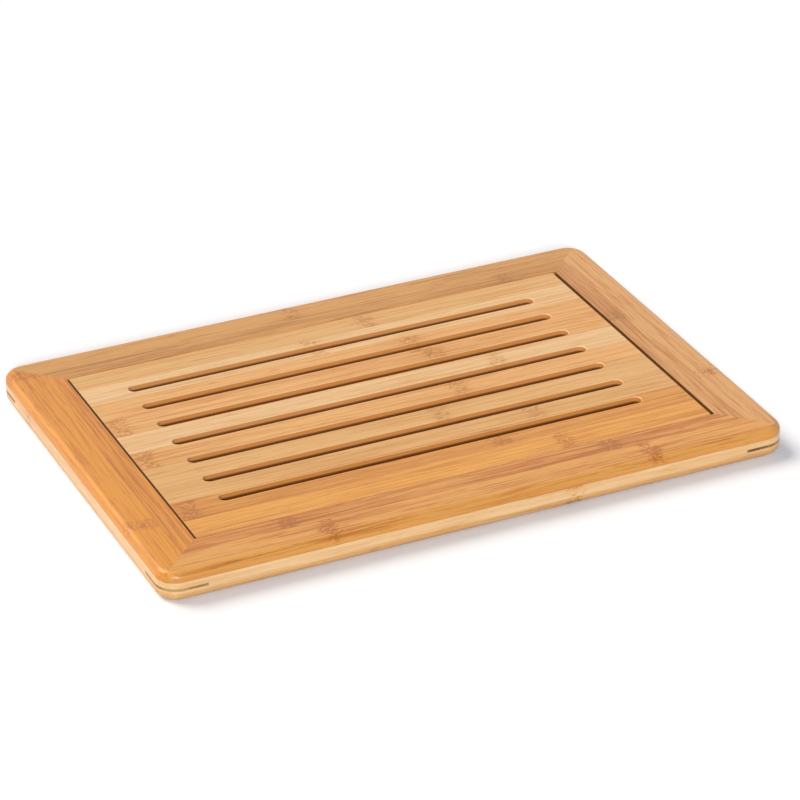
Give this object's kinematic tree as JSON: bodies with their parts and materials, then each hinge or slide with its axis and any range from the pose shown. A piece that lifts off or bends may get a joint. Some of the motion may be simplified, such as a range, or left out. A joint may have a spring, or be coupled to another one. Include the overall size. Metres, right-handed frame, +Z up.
{
  "type": "bread board with crumb tray",
  "caption": "Bamboo bread board: a slotted cutting grid lifts out of a mitred, round-cornered frame over a shallow crumb tray.",
  "frame": {"origin": "middle of the board's underside, on the surface it stands on", "axes": "+X along the board's length to the right, +Y to the back, +Z up"},
  "size_m": [0.42, 0.29, 0.02],
  "materials": {
    "bamboo_caramel": "oiled caramel bamboo, satin",
    "bamboo_blond": "oiled blond bamboo, satin",
    "bamboo_straw": "oiled pale bamboo, satin",
    "bamboo_honey": "oiled honey bamboo, satin",
    "bamboo_knot": "brown bamboo, end grain and splines"
  },
  "bodies": {
    "tray": {"top_rail_front": "bamboo_caramel", "top_rail_right": "bamboo_caramel", "top_rail_back": "bamboo_caramel", "top_rail_left": "bamboo_caramel", "base_rail_front": "bamboo_blond", "base_rail_right": "bamboo_blond", "base_rail_back": "bamboo_blond", "base_rail_left": "bamboo_blond", "corner_spline_front_left": "bamboo_knot", "corner_spline_front_right": "bamboo_knot", "corner_spline_back_right": "bamboo_knot", "corner_spline_back_left": "bamboo_knot", "tray_floor": "bamboo_straw"},
    "grid": {"grid_strip_01": "bamboo_honey", "grid_strip_02": "bamboo_honey", "grid_strip_03": "bamboo_straw", "grid_strip_04": "bamboo_straw", "grid_strip_05": "bamboo_honey", "grid_strip_06": "bamboo_straw", "grid_strip_07": "bamboo_honey", "grid_strip_08": "bamboo_honey", "grid_strip_09": "bamboo_straw", "grid_strip_10": "bamboo_straw"}
  },
  "joints": [
    {"name": "grid_lift", "type": "slide", "parent": "tray", "child": "grid", "axis": [0, 0, 1], "range_m": [0, 0.06]}
  ]
}
